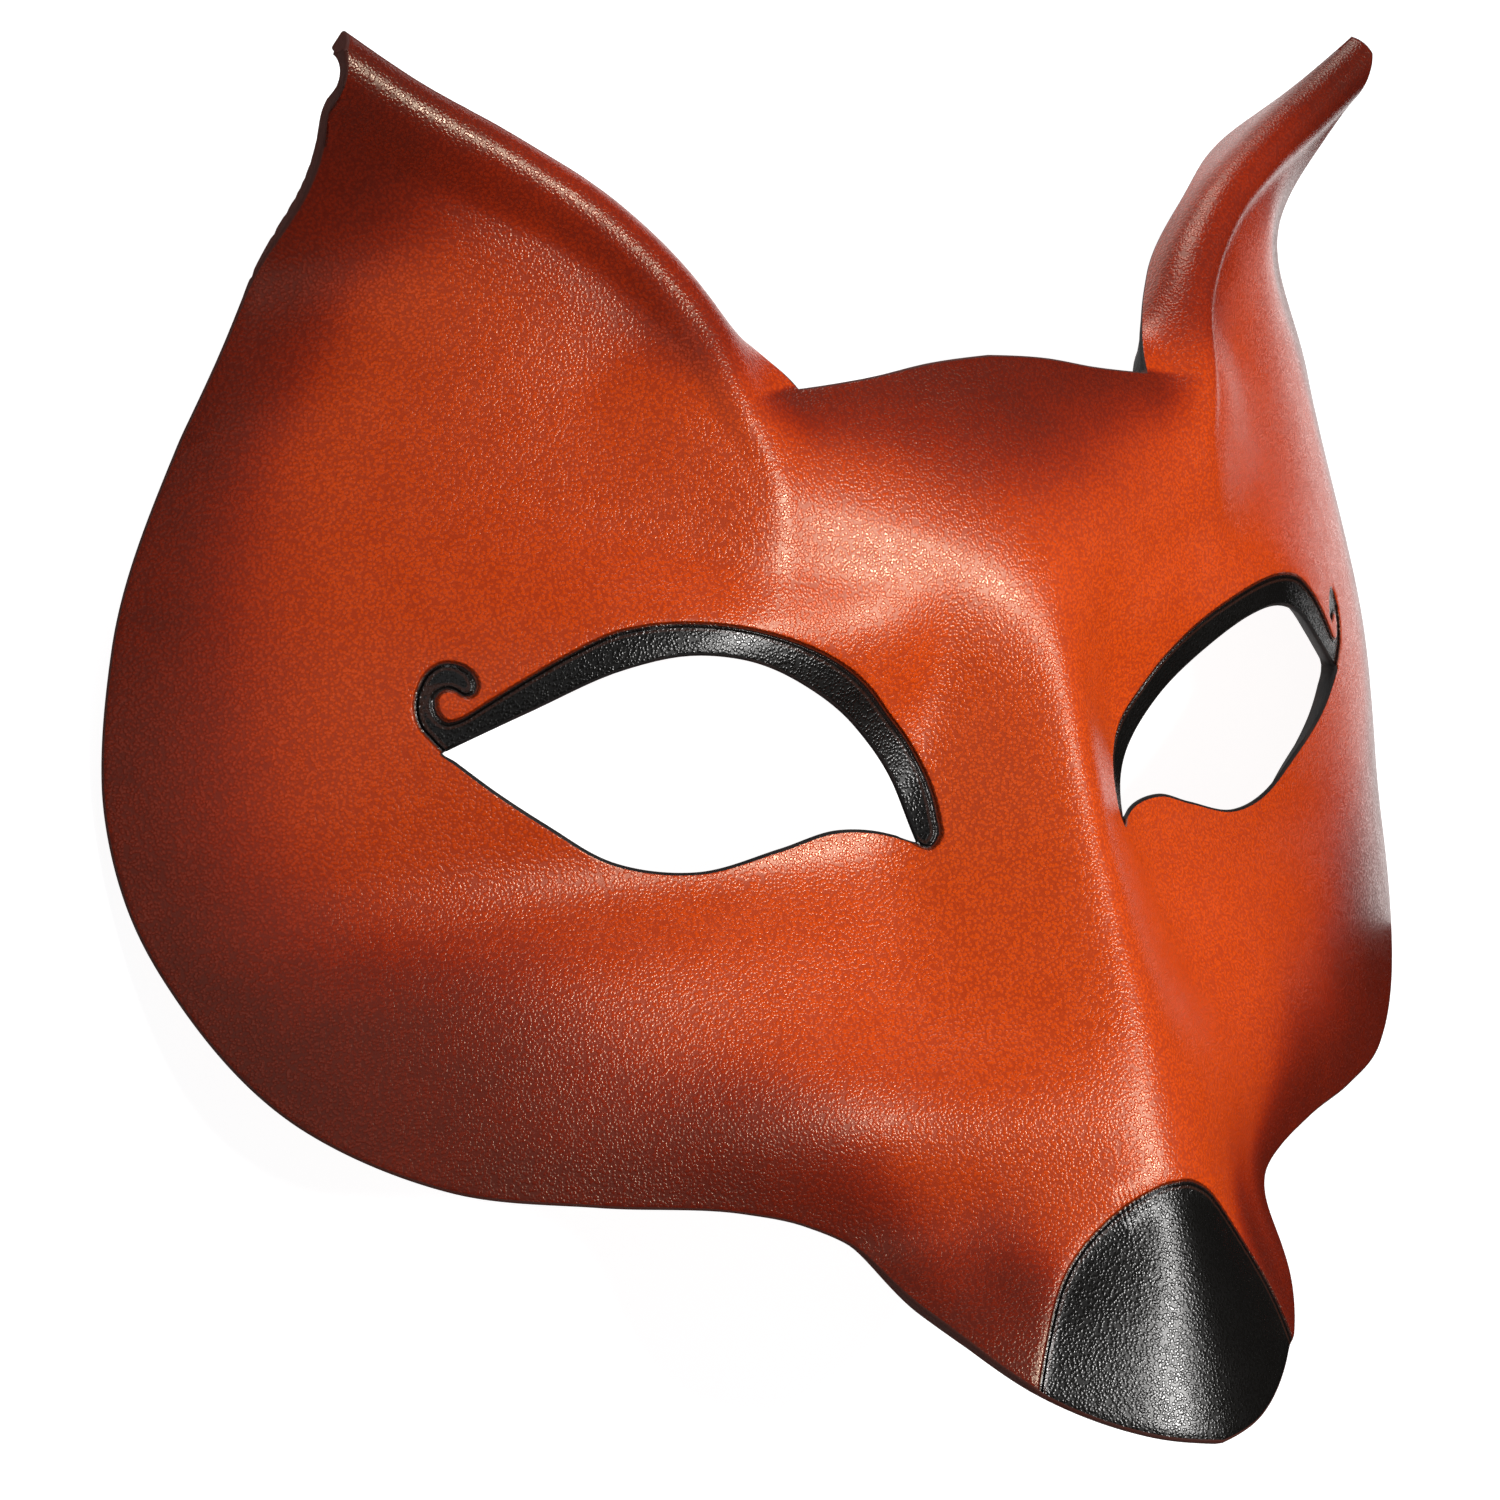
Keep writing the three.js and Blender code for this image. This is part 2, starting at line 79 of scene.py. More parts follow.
faceForm = {
    "ridgeY": [-72, -60, -40, -20, -9, 2.4, 13.6, 29.5, 42, 53.5],
    "ridgeZ": [23.4, 22.3, 19.5, 15.9, 13.6, 11.5, 10.3, 8.5, 5.6, 2.1],
    "wrapHalfWidth": 97.0, "wrapDrop": 36.8, "wrapPower": 2.49,
    "earWrapGain": 0.2, "earWrapFrom": 15.0, "earWrapSpan": 50.0,
    "brow": [5.25, 40.5, 24.0, 25.3, 10.5],       # rise, x, y, spread across, spread up
    "eyeHollow": [-3.44, 46.8, -0.5, 34.0, 8.0],
    "cheekFill": [4.46, 30.0, -29.1, 19.0, 12.0],
    "browRoot": [3.38, 14.5, 27.6, 11.1, 11.5],
    "flankY": [-75, -55, -45, -30, -18, -10, -2, 12, 34, 60],
    "flankSlope": [0.6, 0.57, 0.7, 0.62, 0.85, 0.92, 0.97, 0.88, 0.21, 0.33],
    "roundY": [-75, -60, -30, 10, 50, 60], "ridgeRound": [6.5, 4.6, 3.4, 2.7, 3.2, 5.0],
    "snoutHalfWidth": 29.3,
    "filletY": [-60, -42, -24, -8, 6, 60], "fillet": [2.7, 3.8, 7.0, 4.7, 3.0, 2.4],
    "earDirection": [0.72, 0.69], "earLiftFrom": 96.0, "earLiftRate": 0.02,
    "earTuck": 3.4, "tuckFrom": [62.0, 52.0], "tuckSpan": [18.0, 20.0],
    "crestFadeFrom": 22.0, "crestFadeSpan": 20.0,
    "browSideSpreads": [5, 5, 5, 5, 5, 5.3, 15.4, 13.3],     # at the knots of the crest
    # Ear side of the crest: a round top, a steep wall and a fillet, then a slow slope
    "wallRadii": [4.2, 5.2, 3.6, 3.2, 3.2, 3.4, 3.4, 3.4], "wallSlope": 1.75, "wallFillet": 1.2,
    "wallDepths": [3.2, 4.5, 4.6, 3.8, 3, 1.6, 0.6, 0.3],
    "slowSpreads": [14, 10, 9, 8, 6.5, 9.1, 8.1, 5.7],
}

earFold = {
    "stations": [0, 0.5, 1],                # share of the way from the tip to the notch
    "radii": [3.1, 3.3, 5.7],
    "turns": [-103, -92, -88],              # degrees that the hide rolls back
    "flapStations": [0, 0.2, 0.4, 0.6, 0.8, 1],
    "flapWidths": [3.8, 5.2, 9.6, 7.8, 8.8, 6.5],
    "notchBlend": 12.0,
}

# Black dyed eyelid line with its curl, and the black nose, as outlines on the plan
inlays = {
    "lidOutside": [   # from the inner corner of the eye to the root of the curl
        [16.2, -0.5], [15.1, -1.1], [14.0, 0.0], [13.8, 2.3], [14.3, 6.3], [16.4, 10.8],
        [19.4, 14.1], [22.8, 17.4], [27.3, 20.4], [31.3, 22.3], [35.1, 23.7], [40.1, 25.1],
        [45.1, 25.9], [49.3, 26.0], [52.4, 25.6], [56.7, 23.9], [61.2, 21.5], [66.0, 18.6],
    ],
    "curl": [         # round the inside of the curl and back over its outside
        [66.0, 18.6], [67.2, 18.0], [68.2, 17.9], [68.9, 18.6], [69.2, 19.9], [69.0, 20.8],
        [68.4, 21.3], [67.6, 21.3], [67.0, 20.7], [66.3, 20.3], [65.5, 20.9], [65.4, 21.8],
        [65.9, 23.1], [67.0, 24.0], [68.2, 24.2], [69.5, 23.5], [70.5, 22.0], [71.0, 19.8],
        [70.7, 17.7], [69.7, 16.1], [68.5, 14.5],
    ],
    "insideHole": [[66.3, 13.2], [60, 14.5], [50, 17], [40, 17], [30, 13], [22, 7], [17.8, 1.0]],
    "nose": [
        [0, -40.4], [1.4, -40.4], [3.9, -41.1], [6.7, -42.4], [9.2, -44.2], [11.9, -46.7],
        [14.1, -49.4], [15.9, -52.3], [17.8, -56.2], [19.6, -60.7], [21.5, -66.0],
    ],
    "belowNose": [25, -78],              # a corner well outside the hide, below the nose
    "lidRecess": 0.35, "noseRecess": 0.55,
    "lidRamp": 0.7, "noseRamp": 1.8,
    "lidSpacing": 0.3, "noseSpacing": 0.8,
    "lidBox": [10, -6, 76, 30], "noseTop": -32,         # beyond these a gap is only called far
    "far": 20.0,
}

meshing = {
    "lidBand": 4.6, "lidBandShare": 0.35,       # band of close rows beside the eye hole
    "lidRows": 12, "firstRow": 0.13, "secondRow": 0.2,
    "outerRows": 42,
    "backRowStep": 5,         # the back of the hide keeps one row in five
    "rungs": 26, "rungPower": 1.8,
    "earSteps": 78, "browSteps": 14, "flapSteps": 12,
}


def smooth(t):
    # 0 below 0, 1 above 1, and 3t^2 - 2t^3 in between
    t = np.clip(t, 0, 1)
    return t * t * (3 - 2 * t)


def bell(t):
    # e to the power of minus t squared
    return np.exp(-t * t)


class Curve:
    # Smooth curve through points. Each stretch is a cubic, and the slope at a point is the mean
    # of the chords beside it, each weighted by the other's length.
    def __init__(self, points, knots=None):
        self.points = np.array(points, float).reshape(len(points), -1)
        if knots is None:
            chords = np.linalg.norm(np.diff(self.points, axis=0), axis=1)
            knots = np.concatenate([[0], np.cumsum(chords)])
        self.knots = np.array(knots, float)
        self.steps = np.diff(self.knots)[:, None]
        chord = np.diff(self.points, axis=0) / self.steps
        self.slopes = np.zeros_like(self.points)
        self.slopes[1:-1] = (
            (chord[:-1] * self.steps[1:] + chord[1:] * self.steps[:-1])
            / (self.steps[:-1] + self.steps[1:])
        )
        self.slopes[0] = 1.5 * chord[0] - 0.5 * self.slopes[1]
        self.slopes[-1] = 1.5 * chord[-1] - 0.5 * self.slopes[-2]
        self.length = self.knots[-1]

    def __call__(self, distance):
        d = np.clip(np.asarray(distance, float), self.knots[0], self.length)
        i = np.clip(np.searchsorted(self.knots, d) - 1, 0, len(self.knots) - 2)
        step = self.steps[i]
        u = ((d - self.knots[i]) / step[..., 0])[..., None]
        return (
            (2 * u**3 - 3 * u**2 + 1) * self.points[i]
            + (u**3 - 2 * u**2 + u) * step * self.slopes[i]
            + (3 * u**2 - 2 * u**3) * self.points[i + 1]
            + (u**3 - u**2) * step * self.slopes[i + 1]
        )


def level(knots, values):
    # one number that changes smoothly along a distance
    curve = Curve(values, knots)
    return lambda distance: curve(distance)[..., 0]


cheekCurve = Curve(outlines["cheek"])
crestCurve = Curve(outlines["crest"])
foreheadCurve = Curve(outlines["forehead"])
lowerCurve = Curve(outlines["lowerLid"])
upperCurve = Curve(outlines["upperLid"])
crestTop = level(crestCurve.knots, outlines["crestHeights"])
wallDepth = level(crestCurve.knots, faceForm["wallDepths"])
wallRadius = level(crestCurve.knots, faceForm["wallRadii"])
slowSpread = level(crestCurve.knots, faceForm["slowSpreads"])
browSideSpread = level(crestCurve.knots, faceForm["browSideSpreads"])
crestToNotch = crestCurve.knots[outlines["notchOnCrest"]]
ridgeLine = level(faceForm["ridgeY"], faceForm["ridgeZ"])
flankSlope = level(faceForm["flankY"], faceForm["flankSlope"])
ridgeRound = level(faceForm["roundY"], faceForm["ridgeRound"])
fillet = level(faceForm["filletY"], faceForm["fillet"])
foldRadius = level(np.array(earFold["stations"]) * crestToNotch, earFold["radii"])
foldTurn = level(np.array(earFold["stations"]) * crestToNotch, earFold["turns"])
flapWidth = level(np.array(earFold["flapStations"]) * crestToNotch, earFold["flapWidths"])


def crestFrame(along):
    # point of the crest and the direction across it, towards the forehead
    nudge = 0.05
    place = np.clip(along, 0, crestCurve.length)
    chord = crestCurve(place + nudge) - crestCurve(place - nudge)
    t = chord / np.linalg.norm(chord, axis=-1, keepdims=True)
    return crestCurve(place), np.stack([t[..., 1], -t[..., 0]], -1)


def swelling(form, x, y):
    # a rise that falls off as a bell across and up
    rise, x0, y0, spreadX, spreadY = form
    return rise * bell((x - x0) / spreadX) * bell((y - y0) / spreadY)


def faceHeight(x, y):
    # a power-law drop round the head, plus the brow, the eye hollow and the cheek, plus the
    # ear tip's lift (a square law along the ear) and the tuck of its outer edge
    f = faceForm
    gain = 1 + f["earWrapGain"] * smooth((y - f["earWrapFrom"]) / f["earWrapSpan"])
    wrap = f["wrapDrop"] * gain * (np.abs(x) / f["wrapHalfWidth"]) ** f["wrapPower"]
    reach = f["earDirection"][0] * x + f["earDirection"][1] * y - f["earLiftFrom"]
    lift = f["earLiftRate"] * np.maximum(0, reach) ** 2
    tuckAcross = smooth((x - f["tuckFrom"][0]) / f["tuckSpan"][0])
    tuckUp = smooth((y - f["tuckFrom"][1]) / f["tuckSpan"][1])
    swell = swelling(f["brow"], x, y) + swelling(f["browRoot"], x, y)
    swell = swell + swelling(f["eyeHollow"], x, y) + swelling(f["cheekFill"], x, y)
    return swell + lift - f["earTuck"] * tuckAcross * tuckUp - wrap


def snoutHeight(x, y):
    # a roof along the nose ridge: a hyperbola across, rounded at the top, less a fourth power
    # that brings its sides down to the face
    rounding = ridgeRound(y)
    fall = np.sqrt((flankSlope(y) * x) ** 2 + rounding**2) - rounding
    return ridgeLine(y) - fall - (x / faceForm["snoutHalfWidth"]) ** 4


def crestWall(away, depth, r):
    # how far the hide stands over the foot of the crest's wall: a circle's arc, then a straight
    # slope, cut off at the wall's depth by a smooth minimum
    slope, soft = faceForm["wallSlope"], faceForm["wallFillet"]
    turned = r * slope / math.hypot(1, slope)
    arc = np.minimum(away, turned)
    drop = r - np.sqrt(r * r - arc * arc) + (away - arc) * slope
    foot = depth - soft**2 / (4 * depth)
    return 0.5 * (foot - drop + np.sqrt((drop - foot) ** 2 + soft**2))


crestPlaces = np.linspace(0, crestCurve.length, 221)
crestPoints, crestNormals = crestFrame(crestPlaces)


def crestDistance(x, y):
    # nearest sample of the crest, moved once along it: how far past the crest, and where
    shape = np.shape(x)
    p = np.stack([np.ravel(x), np.ravel(y)], 1)
    gaps = (p[:, None, 0] - crestPoints[None, :, 0]) ** 2
    gaps = gaps + (p[:, None, 1] - crestPoints[None, :, 1]) ** 2
    i = gaps.argmin(1)
    d = p - crestPoints[i]
    along = crestPlaces[i] + d[:, 1] * crestNormals[i, 0] - d[:, 0] * crestNormals[i, 1]
    nearby = crestPlaces[1] * 0.6
    along = np.clip(along, crestPlaces[i] - nearby, crestPlaces[i] + nearby)
    point, normal = crestFrame(along)
    past = ((p - point) * normal).sum(1)
    return past.reshape(shape), along.reshape(shape)


def height(x, y):
    # front of the hide over the plan: the face with the crest on it (a bell on the brow side,
    # a wall and a wide bell on the ear side), joined to the snout by a smooth maximum
    face = faceHeight(x, y)
    past, along = crestDistance(x, y)
    stand = crestTop(along) - face
    depth = wallDepth(along)
    away = np.maximum(-past, 0)
    earSide = (stand - depth) * bell(away / slowSpread(along))
    earSide = earSide + crestWall(away, depth, wallRadius(along))
    browSide = stand * bell(past / browSideSpread(along))
    fade = smooth((y - faceForm["crestFadeFrom"]) / faceForm["crestFadeSpan"])
    cheek = face + np.where(past > 0, browSide, earSide) * fade
    snout = snoutHeight(x, y)
    return 0.5 * (cheek + snout + np.sqrt((cheek - snout) ** 2 + fillet(y) ** 2))


def foldOver(along, past):
    # the strip behind the crest: an arc of the fold's radius until the turn is done, then
    # straight on
    point, normal = crestFrame(along)
    top = height(point[..., 0], point[..., 1])
    radius = foldRadius(along)
    turn = np.radians(foldTurn(along))
    arc = np.minimum(past, -radius * turn)
    angle = arc / radius
    out = radius * np.sin(angle) + (past - arc) * np.cos(turn)
    down = radius * (1 - np.cos(angle)) - (past - arc) * np.sin(turn)
    return np.concatenate([point + normal * out[..., None], (top - down)[..., None]], -1)


def eyePoint(turn):
    # round the eye hole: along the lower lid from 0 to 1 and back along the upper lid to 2
    t = np.mod(turn, 2)
    lower = lowerCurve(lowerCurve.length * np.minimum(t, 1))
    upper = upperCurve(upperCurve.length * np.maximum(t - 1, 0))
    return np.where((t <= 1)[..., None], lower, upper)


def slantStep(turn):
    # step away from the eye hole that its slanted cut makes, across the hole's edge
    nudge = 0.01
    edge = eyePoint(turn + nudge) - eyePoint(turn - nudge)
    edge = edge / np.linalg.norm(edge, axis=-1, keepdims=True)
    amount = np.interp(np.mod(turn, 2), hide["slantTurns"], hide["slants"])[..., None]
    return np.stack([edge[..., 1], -edge[..., 0]], -1) * amount


def onPlan(plan):
    # places on the plan, raised to the front of the hide
    return np.concatenate([plan, height(plan[..., 0], plan[..., 1])[..., None]], -1)


def between(a, b):
    # a straight run from a to b as its share goes from 0 to 1
    a = np.array(a, float)
    b = np.array(b, float)
    return lambda u: a + (b - a) * np.asarray(u)[..., None]


def along(curve, fromKnot, toKnot):
    # distance along a curve from one knot to another as the share goes from 0 to 1
    a, b = curve.knots[fromKnot], curve.knots[toKnot]
    return lambda u: a + (b - a) * np.asarray(u)


def stops(count):
    # shares from 0 to 1 in even steps
    return np.linspace(0, 1, count + 1)


def cheekRun(fromKnot, toKnot):
    # a run along the cheek's outline between two of its knots
    distance = along(cheekCurve, fromKnot, toKnot)
    return lambda u: cheekCurve(distance(u))


earAlong = along(crestCurve, 0, outlines["earBaseOnCrest"])
browAlong = along(crestCurve, outlines["earBaseOnCrest"], outlines["notchOnCrest"])
earEdge = cheekRun(len(outlines["cheek"]) - 1, outlines["earBaseOnCheek"])
rungFractions = stops(meshing["rungs"]) ** meshing["rungPower"]
crestEnd = outlines["crest"][outlines["notchOnCrest"]]
notch = outlines["forehead"][0]
lastCheek = outlines["earBaseOnCheek"]

# Round the face below the ear: each run of outline, the stretch of the eye hole's edge that its
# spokes start from, and where along the run they end
runs = [
    (cheekRun(0, 2), 0.06, 0.1, stops(28)),
    (cheekRun(2, 5), 0.1, 0.22, stops(40)),
    (cheekRun(5, 7), 0.22, 0.46, stops(34)),
    (cheekRun(7, 9), 0.46, 0.77, stops(44)),
    (cheekRun(9, 11), 0.77, 1.0, stops(60)),
    (cheekRun(11, lastCheek), 1.0, 1.14, stops(50)),
    (between(earEdge(1), crestCurve(earAlong(1))), 1.14, 1.54, 1 - rungFractions[::-1]),
    (lambda u: crestCurve(browAlong(u)), 1.54, 1.62, stops(meshing["browSteps"])),
    (between(crestEnd, notch), 1.62, 1.7, stops(meshing["flapSteps"])),
    (lambda u: foreheadCurve(foreheadCurve.length * u), 1.7, 1.83, stops(36)),
    (between(outlines["forehead"][-1], [0, 25]), 1.83, 1.91, stops(34)),
    (between([0, 25], [0, 0]), 1.91, 2.0, stops(30)),
    (between([0, 0], [0, -22]), 2.0, 2.0, stops(20)),
    (between([0, -22], outlines["cheek"][0]), 2.0, 2.06, stops(46)),
]


def faceGrid(slant, rowStep):
    # spokes from the eye hole to the outline; rows are close together beside the hole, and on
    # the back of the hide they move away from the hole by the cut's slant
    turn = np.concatenate([a + (b - a) * s[:-1] for _, a, b, s in runs])
    outer = np.concatenate([rim(s[:-1]) for rim, _, _, s in runs])
    turn = np.append(turn, turn[0])
    outer = np.vstack([outer, outer[:1]])
    inner = eyePoint(turn)
    length = np.linalg.norm(outer - inner, axis=1)[:, None]
    band = np.minimum(meshing["lidBand"], meshing["lidBandShare"] * length)
    closeRows = np.linspace(meshing["secondRow"], 1, meshing["lidRows"])
    lidRows = np.concatenate([[0, meshing["firstRow"]], closeRows])
    outerRows = stops(meshing["outerRows"])[1:]
    distance = np.concatenate([band * lidRows, band + (length - band) * outerRows], 1)
    kept = np.arange(0, distance.shape[1] - 1, rowStep)
    distance = distance[:, np.append(kept, distance.shape[1] - 1)]
    share = (distance / length)[..., None]
    plan = inner[:, None] + (outer - inner)[:, None] * share
    return onPlan(plan + slantStep(turn)[:, None] * (slant * (1 - share) ** 2))


def earGrid():
    # rungs from the crest of the fold to the outer edge, from the ear's base to its tip
    u = stops(meshing["earSteps"])[::-1]
    inner = crestCurve(earAlong(u))[:, None]
    outer = earEdge(u)[:, None]
    return onPlan(inner + (outer - inner) * rungFractions[None, :, None])


def flapGrid():
    # the rolled strip, tied to the forehead near the notch
    place = np.concatenate([
        earAlong(stops(meshing["earSteps"])), browAlong(stops(meshing["browSteps"])[1:]),
    ])
    u = stops(meshing["flapSteps"])
    alongs = np.repeat(place[:, None], len(u), 1)
    tie = smooth(1 - (crestToNotch - alongs) / earFold["notchBlend"])[..., None]
    free = foldOver(alongs, flapWidth(alongs) * u)
    end = np.full(len(u), crestToNotch)
    last = foldOver(end, earFold["flapWidths"][-1] * u)
    fixed = onPlan(between(crestEnd, notch)(u))
    return free + (fixed - last)[None] * tie, alongs


def outlineGap(points, x, y):
    # distance from places on the plan to an open line of points
    p = np.stack([np.ravel(x), np.ravel(y)], 1)
    a, b = points[:-1], points[1:]
    d = b - a
    least = np.full(len(p), np.inf)
    for i in range(len(a)):
        w = p - a[i]
        t = np.clip((w @ d[i]) / (d[i] @ d[i]), 0, 1)
        q = w - t[:, None] * d[i]
        least = np.minimum(least, (q * q).sum(1))
    return np.sqrt(least).reshape(np.shape(x))


def insideOutline(points, x, y):
    # even-odd rule: count the crossings to the right of each place
    px, py = np.ravel(x), np.ravel(y)
    inside = np.zeros(len(px), bool)
    for (x0, y0), (x1, y1) in zip(points, np.roll(points, -1, axis=0)):
        crosses = (y0 > py) != (y1 > py)
        at = x0 + (x1 - x0) * (py - y0) / (y1 - y0 if y1 != y0 else 1)
        inside ^= crosses & (px < at)
    return inside.reshape(np.shape(x))


def signedGap(points, x, y):
    # distance to a closed outline, below 0 inside it
    closed = np.vstack([points, points[:1]])
    gap = outlineGap(closed, x, y)
    return np.where(insideOutline(points, x, y), -gap, gap)


def drawn(points, spacing):
    # places along a smooth curve through points, evenly apart
    curve = Curve(points)
    return curve(np.linspace(0, curve.length, int(curve.length / spacing)))


lidOutline = np.vstack([
    drawn(inlays["lidOutside"], inlays["lidSpacing"]),
    drawn(inlays["curl"], inlays["lidSpacing"])[1:],
    inlays["insideHole"],
])
halfNose = drawn(inlays["nose"], inlays["noseSpacing"])
belowNose = np.array([inlays["belowNose"]])
noseOutline = np.vstack([halfNose, belowNose, belowNose * [-1, 1], halfNose[:0:-1] * [-1, 1]])
rimLine = cheekCurve(np.linspace(0, cheekCurve.length, 200))
topLine = foreheadCurve(np.linspace(0, foreheadCurve.length, 30))


def inlayGaps(grid):
    # signed distances to the two black inlays; far away they are only known to be far
    x, y = grid[..., 0], grid[..., 1]
    left, low, right, high = inlays["lidBox"]
    lid = np.full(x.shape, inlays["far"])
    near = (x > left) & (x < right) & (y > low) & (y < high)
    lid[near] = signedGap(lidOutline, x[near], y[near])
    nose = np.full(x.shape, inlays["far"])
    near = y < inlays["noseTop"]
    nose[near] = signedGap(noseOutline, x[near], y[near])
    return lid, nose


def sinkInlays(grid, lid, nose):
    # the inlays are skived a little below the rest, with a soft ramp at the knife line
    grid = grid.copy()
    grid[..., 2] -= inlays["lidRecess"] * smooth(-lid / inlays["lidRamp"] + 0.5)
    grid[..., 2] -= inlays["noseRecess"] * smooth(-nose / inlays["noseRamp"] + 0.5)
    return grid


dye = {
    "rim": 0.95, "rimPower": 1.3,
    "rimWidth": 27.0, "noseRimWidth": 13.0,     # how far the dark dye reaches in from the rim
    "widenFrom": 22.0, "widenSpan": 26.0,       # across, from the muzzle to the cheek
    "narrowFrom": 25.0, "narrowSpan": 25.0,     # up, from the cheek to the ear
    "earRimShare": 0.62,                        # of the width, beside the ear
    "ear": 0.95, "earFrom": 84.0, "earSpan": 34.0,      # along the ear's direction
    "crest": 0.68, "crestWidth": 18.0,          # along the ears' rolled fronts
    "crestFrom": 46.0, "crestSpan": 12.0,       # up, from the brow to the ear
    "top": 0.85, "topWidth": 11.0,              # along the forehead's upper edge
    "forehead": [0.85, 0.0, 47.5, 25.0, 14.0],
    "lowCheek": [0.92, 74.0, -21.0, 23.0, 22.0],
    "cheekFoot": [0.3, 34.0, -30.0, 18.0, 11.0],
    "muzzleSide": [0.9, 18.5, -51.0, 6.5, 12.0],
    "heart": [0.9, 12.0, 6.0, 34.0, 46.0],      # the brightest orange, round the nose
}


def dyeAmount(grid):
    # burgundy dye: each zone leaves a share of the orange, and the shares are multiplied; most
    # of it is at the rim, the ear tips, the forehead's top and under the cheeks
    x, y = grid[..., 0], grid[..., 1]
    cheekShare = smooth((x - dye["widenFrom"]) / dye["widenSpan"])
    earShare = smooth((y - dye["narrowFrom"]) / dye["narrowSpan"])
    width = dye["noseRimWidth"] + (dye["rimWidth"] - dye["noseRimWidth"]) * cheekShare
    width = width * (1 - (1 - dye["earRimShare"]) * earShare)
    rim = (1 - smooth(outlineGap(rimLine, x, y) / width)) ** dye["rimPower"]
    reach = faceForm["earDirection"][0] * x + faceForm["earDirection"][1] * y
    ear = smooth((reach - dye["earFrom"]) / dye["earSpan"])
    crest = 1 - smooth(outlineGap(crestPoints, x, y) / dye["crestWidth"])
    crest = crest * smooth((y - dye["crestFrom"]) / dye["crestSpan"])
    top = 1 - smooth(outlineGap(topLine, x, y) / dye["topWidth"])
    keep = (1 - dye["rim"] * rim) * (1 - dye["ear"] * ear)
    keep = keep * (1 - dye["crest"] * crest) * (1 - dye["top"] * top)
    for name in ("forehead", "lowCheek", "cheekFoot", "muzzleSide"):
        keep = keep * (1 - swelling(dye[name], x, y))
    return 1 - keep, swelling(dye["heart"], x, y)


def heightNormals(points):
    # straight out of the front face, from the slopes of its height to both sides of a point
    x, y = np.abs(points[:, 0]), points[:, 1]
    step = 0.05
    across = (height(x + step, y) - height(x - step, y)) / (2 * step) * np.sign(points[:, 0])
    up = (height(x, y + step) - height(x, y - step)) / (2 * step)
    normals = np.stack([-across, -up, np.ones(len(x))], 1)
    return normals / np.linalg.norm(normals, axis=1, keepdims=True)


class Skin:
    # welds grids of points and their mirror images into one open surface, with its triangles,
    # its normals and the numbers that the finish reads; the last grid is the rolled strip
    def __init__(self, grids, layers):
        self.points = []
        self.tris = []
        values = {name: [] for name in layers}
        start = 0
        for i, grid in enumerate(grids):
            if i == len(grids) - 1:
                stripStart = start
            rows, columns = grid.shape[:2]
            for side in (1, -1):
                self.points.append(grid.reshape(-1, 3) * [side, 1, 1])
                for name in layers:
                    values[name].append(layers[name][i].reshape(-1))
                index = start + np.arange(rows * columns).reshape(rows, columns)
                start += rows * columns
                a, b = index[:-1, :-1].ravel(), index[1:, :-1].ravel()
                c, d = index[1:, 1:].ravel(), index[:-1, 1:].ravel()
                near, far = ((a, d, c), (a, c, b)) if side > 0 else ((a, c, d), (a, b, c))
                self.tris += [np.stack(near, 1), np.stack(far, 1)]
        points = np.vstack(self.points)
        _, first, same = np.unique(
            np.round(points, 4) + 0.0, axis=0, return_index=True, return_inverse=True
        )
        same = same.reshape(-1)
        self.same = same
        self.points = points[first]
        self.onStrip = first >= stripStart
        self.values = {name: np.concatenate(values[name])[first] for name in values}
        tris = same[np.vstack(self.tris)]
        whole = (tris[:, 0] != tris[:, 1]) & (tris[:, 1] != tris[:, 2])
        self.tris = tris[whole & (tris[:, 2] != tris[:, 0])]
        self.normals = self.faceNormals()

    def faceNormals(self):
        # at each point the mean of its triangles' normals, weighted by their areas
        a, b, c = (self.points[self.tris[:, k]] for k in range(3))
        cross = np.cross(b - a, c - a)
        total = np.zeros_like(self.points)
        for k in range(3):
            np.add.at(total, self.tris[:, k], cross)
        return total / np.linalg.norm(total, axis=1, keepdims=True)

    def rim(self):
        # edges with a triangle on one side only, each with the surface on its left
        t = self.tris
        edges = np.vstack([t[:, [0, 1]], t[:, [1, 2]], t[:, [2, 0]]])
        count = len(self.points)
        code = edges[:, 0].astype(np.int64) * count + edges[:, 1]
        back = edges[:, 1].astype(np.int64) * count + edges[:, 0]
        return edges[~np.isin(code, back)]


def buildSkins():
    # the front of the hide at full detail, and its back with the same rim and fewer rows
    skins = []
    ends = []
    for slant, rowStep in ((0, 1), (1, meshing["backRowStep"])):
        face = faceGrid(slant, rowStep)
        ear = earGrid()
        flap, alongs = flapGrid()
        layers = {"lidGap": [], "noseGap": [], "dark": [], "heart": []}
        grids = []
        for grid in (face, ear, flap):
            lid, nose = inlayGaps(grid)
            plan = grid
            if grid is flap:
                plan = np.stack([crestCurve(alongs)[..., 0], crestCurve(alongs)[..., 1]], -1)
            dark, heart = dyeAmount(plan)
            for name, value in zip(layers, (lid, nose, dark, heart)):
                layers[name].append(value)
            grids.append(grid if slant else sinkInlays(grid, lid, nose))
        skin = Skin(grids, layers)
        skins.append(skin)
        # the places along the rim, in the same order on both skins
        index = []
        start = 0
        for grid in grids:
            for _ in (1, -1):
                rows, columns = grid.shape[:2]
                table = start + np.arange(rows * columns).reshape(rows, columns)
                start += rows * columns
                if grid is grids[0]:
                    index += [table[:, 0], table[:, -1]]
                else:
                    index += [table[0], table[-1], table[:, -1]]
        ends.append(skin.same[np.concatenate(index)])
    return skins[0], skins[1], ends


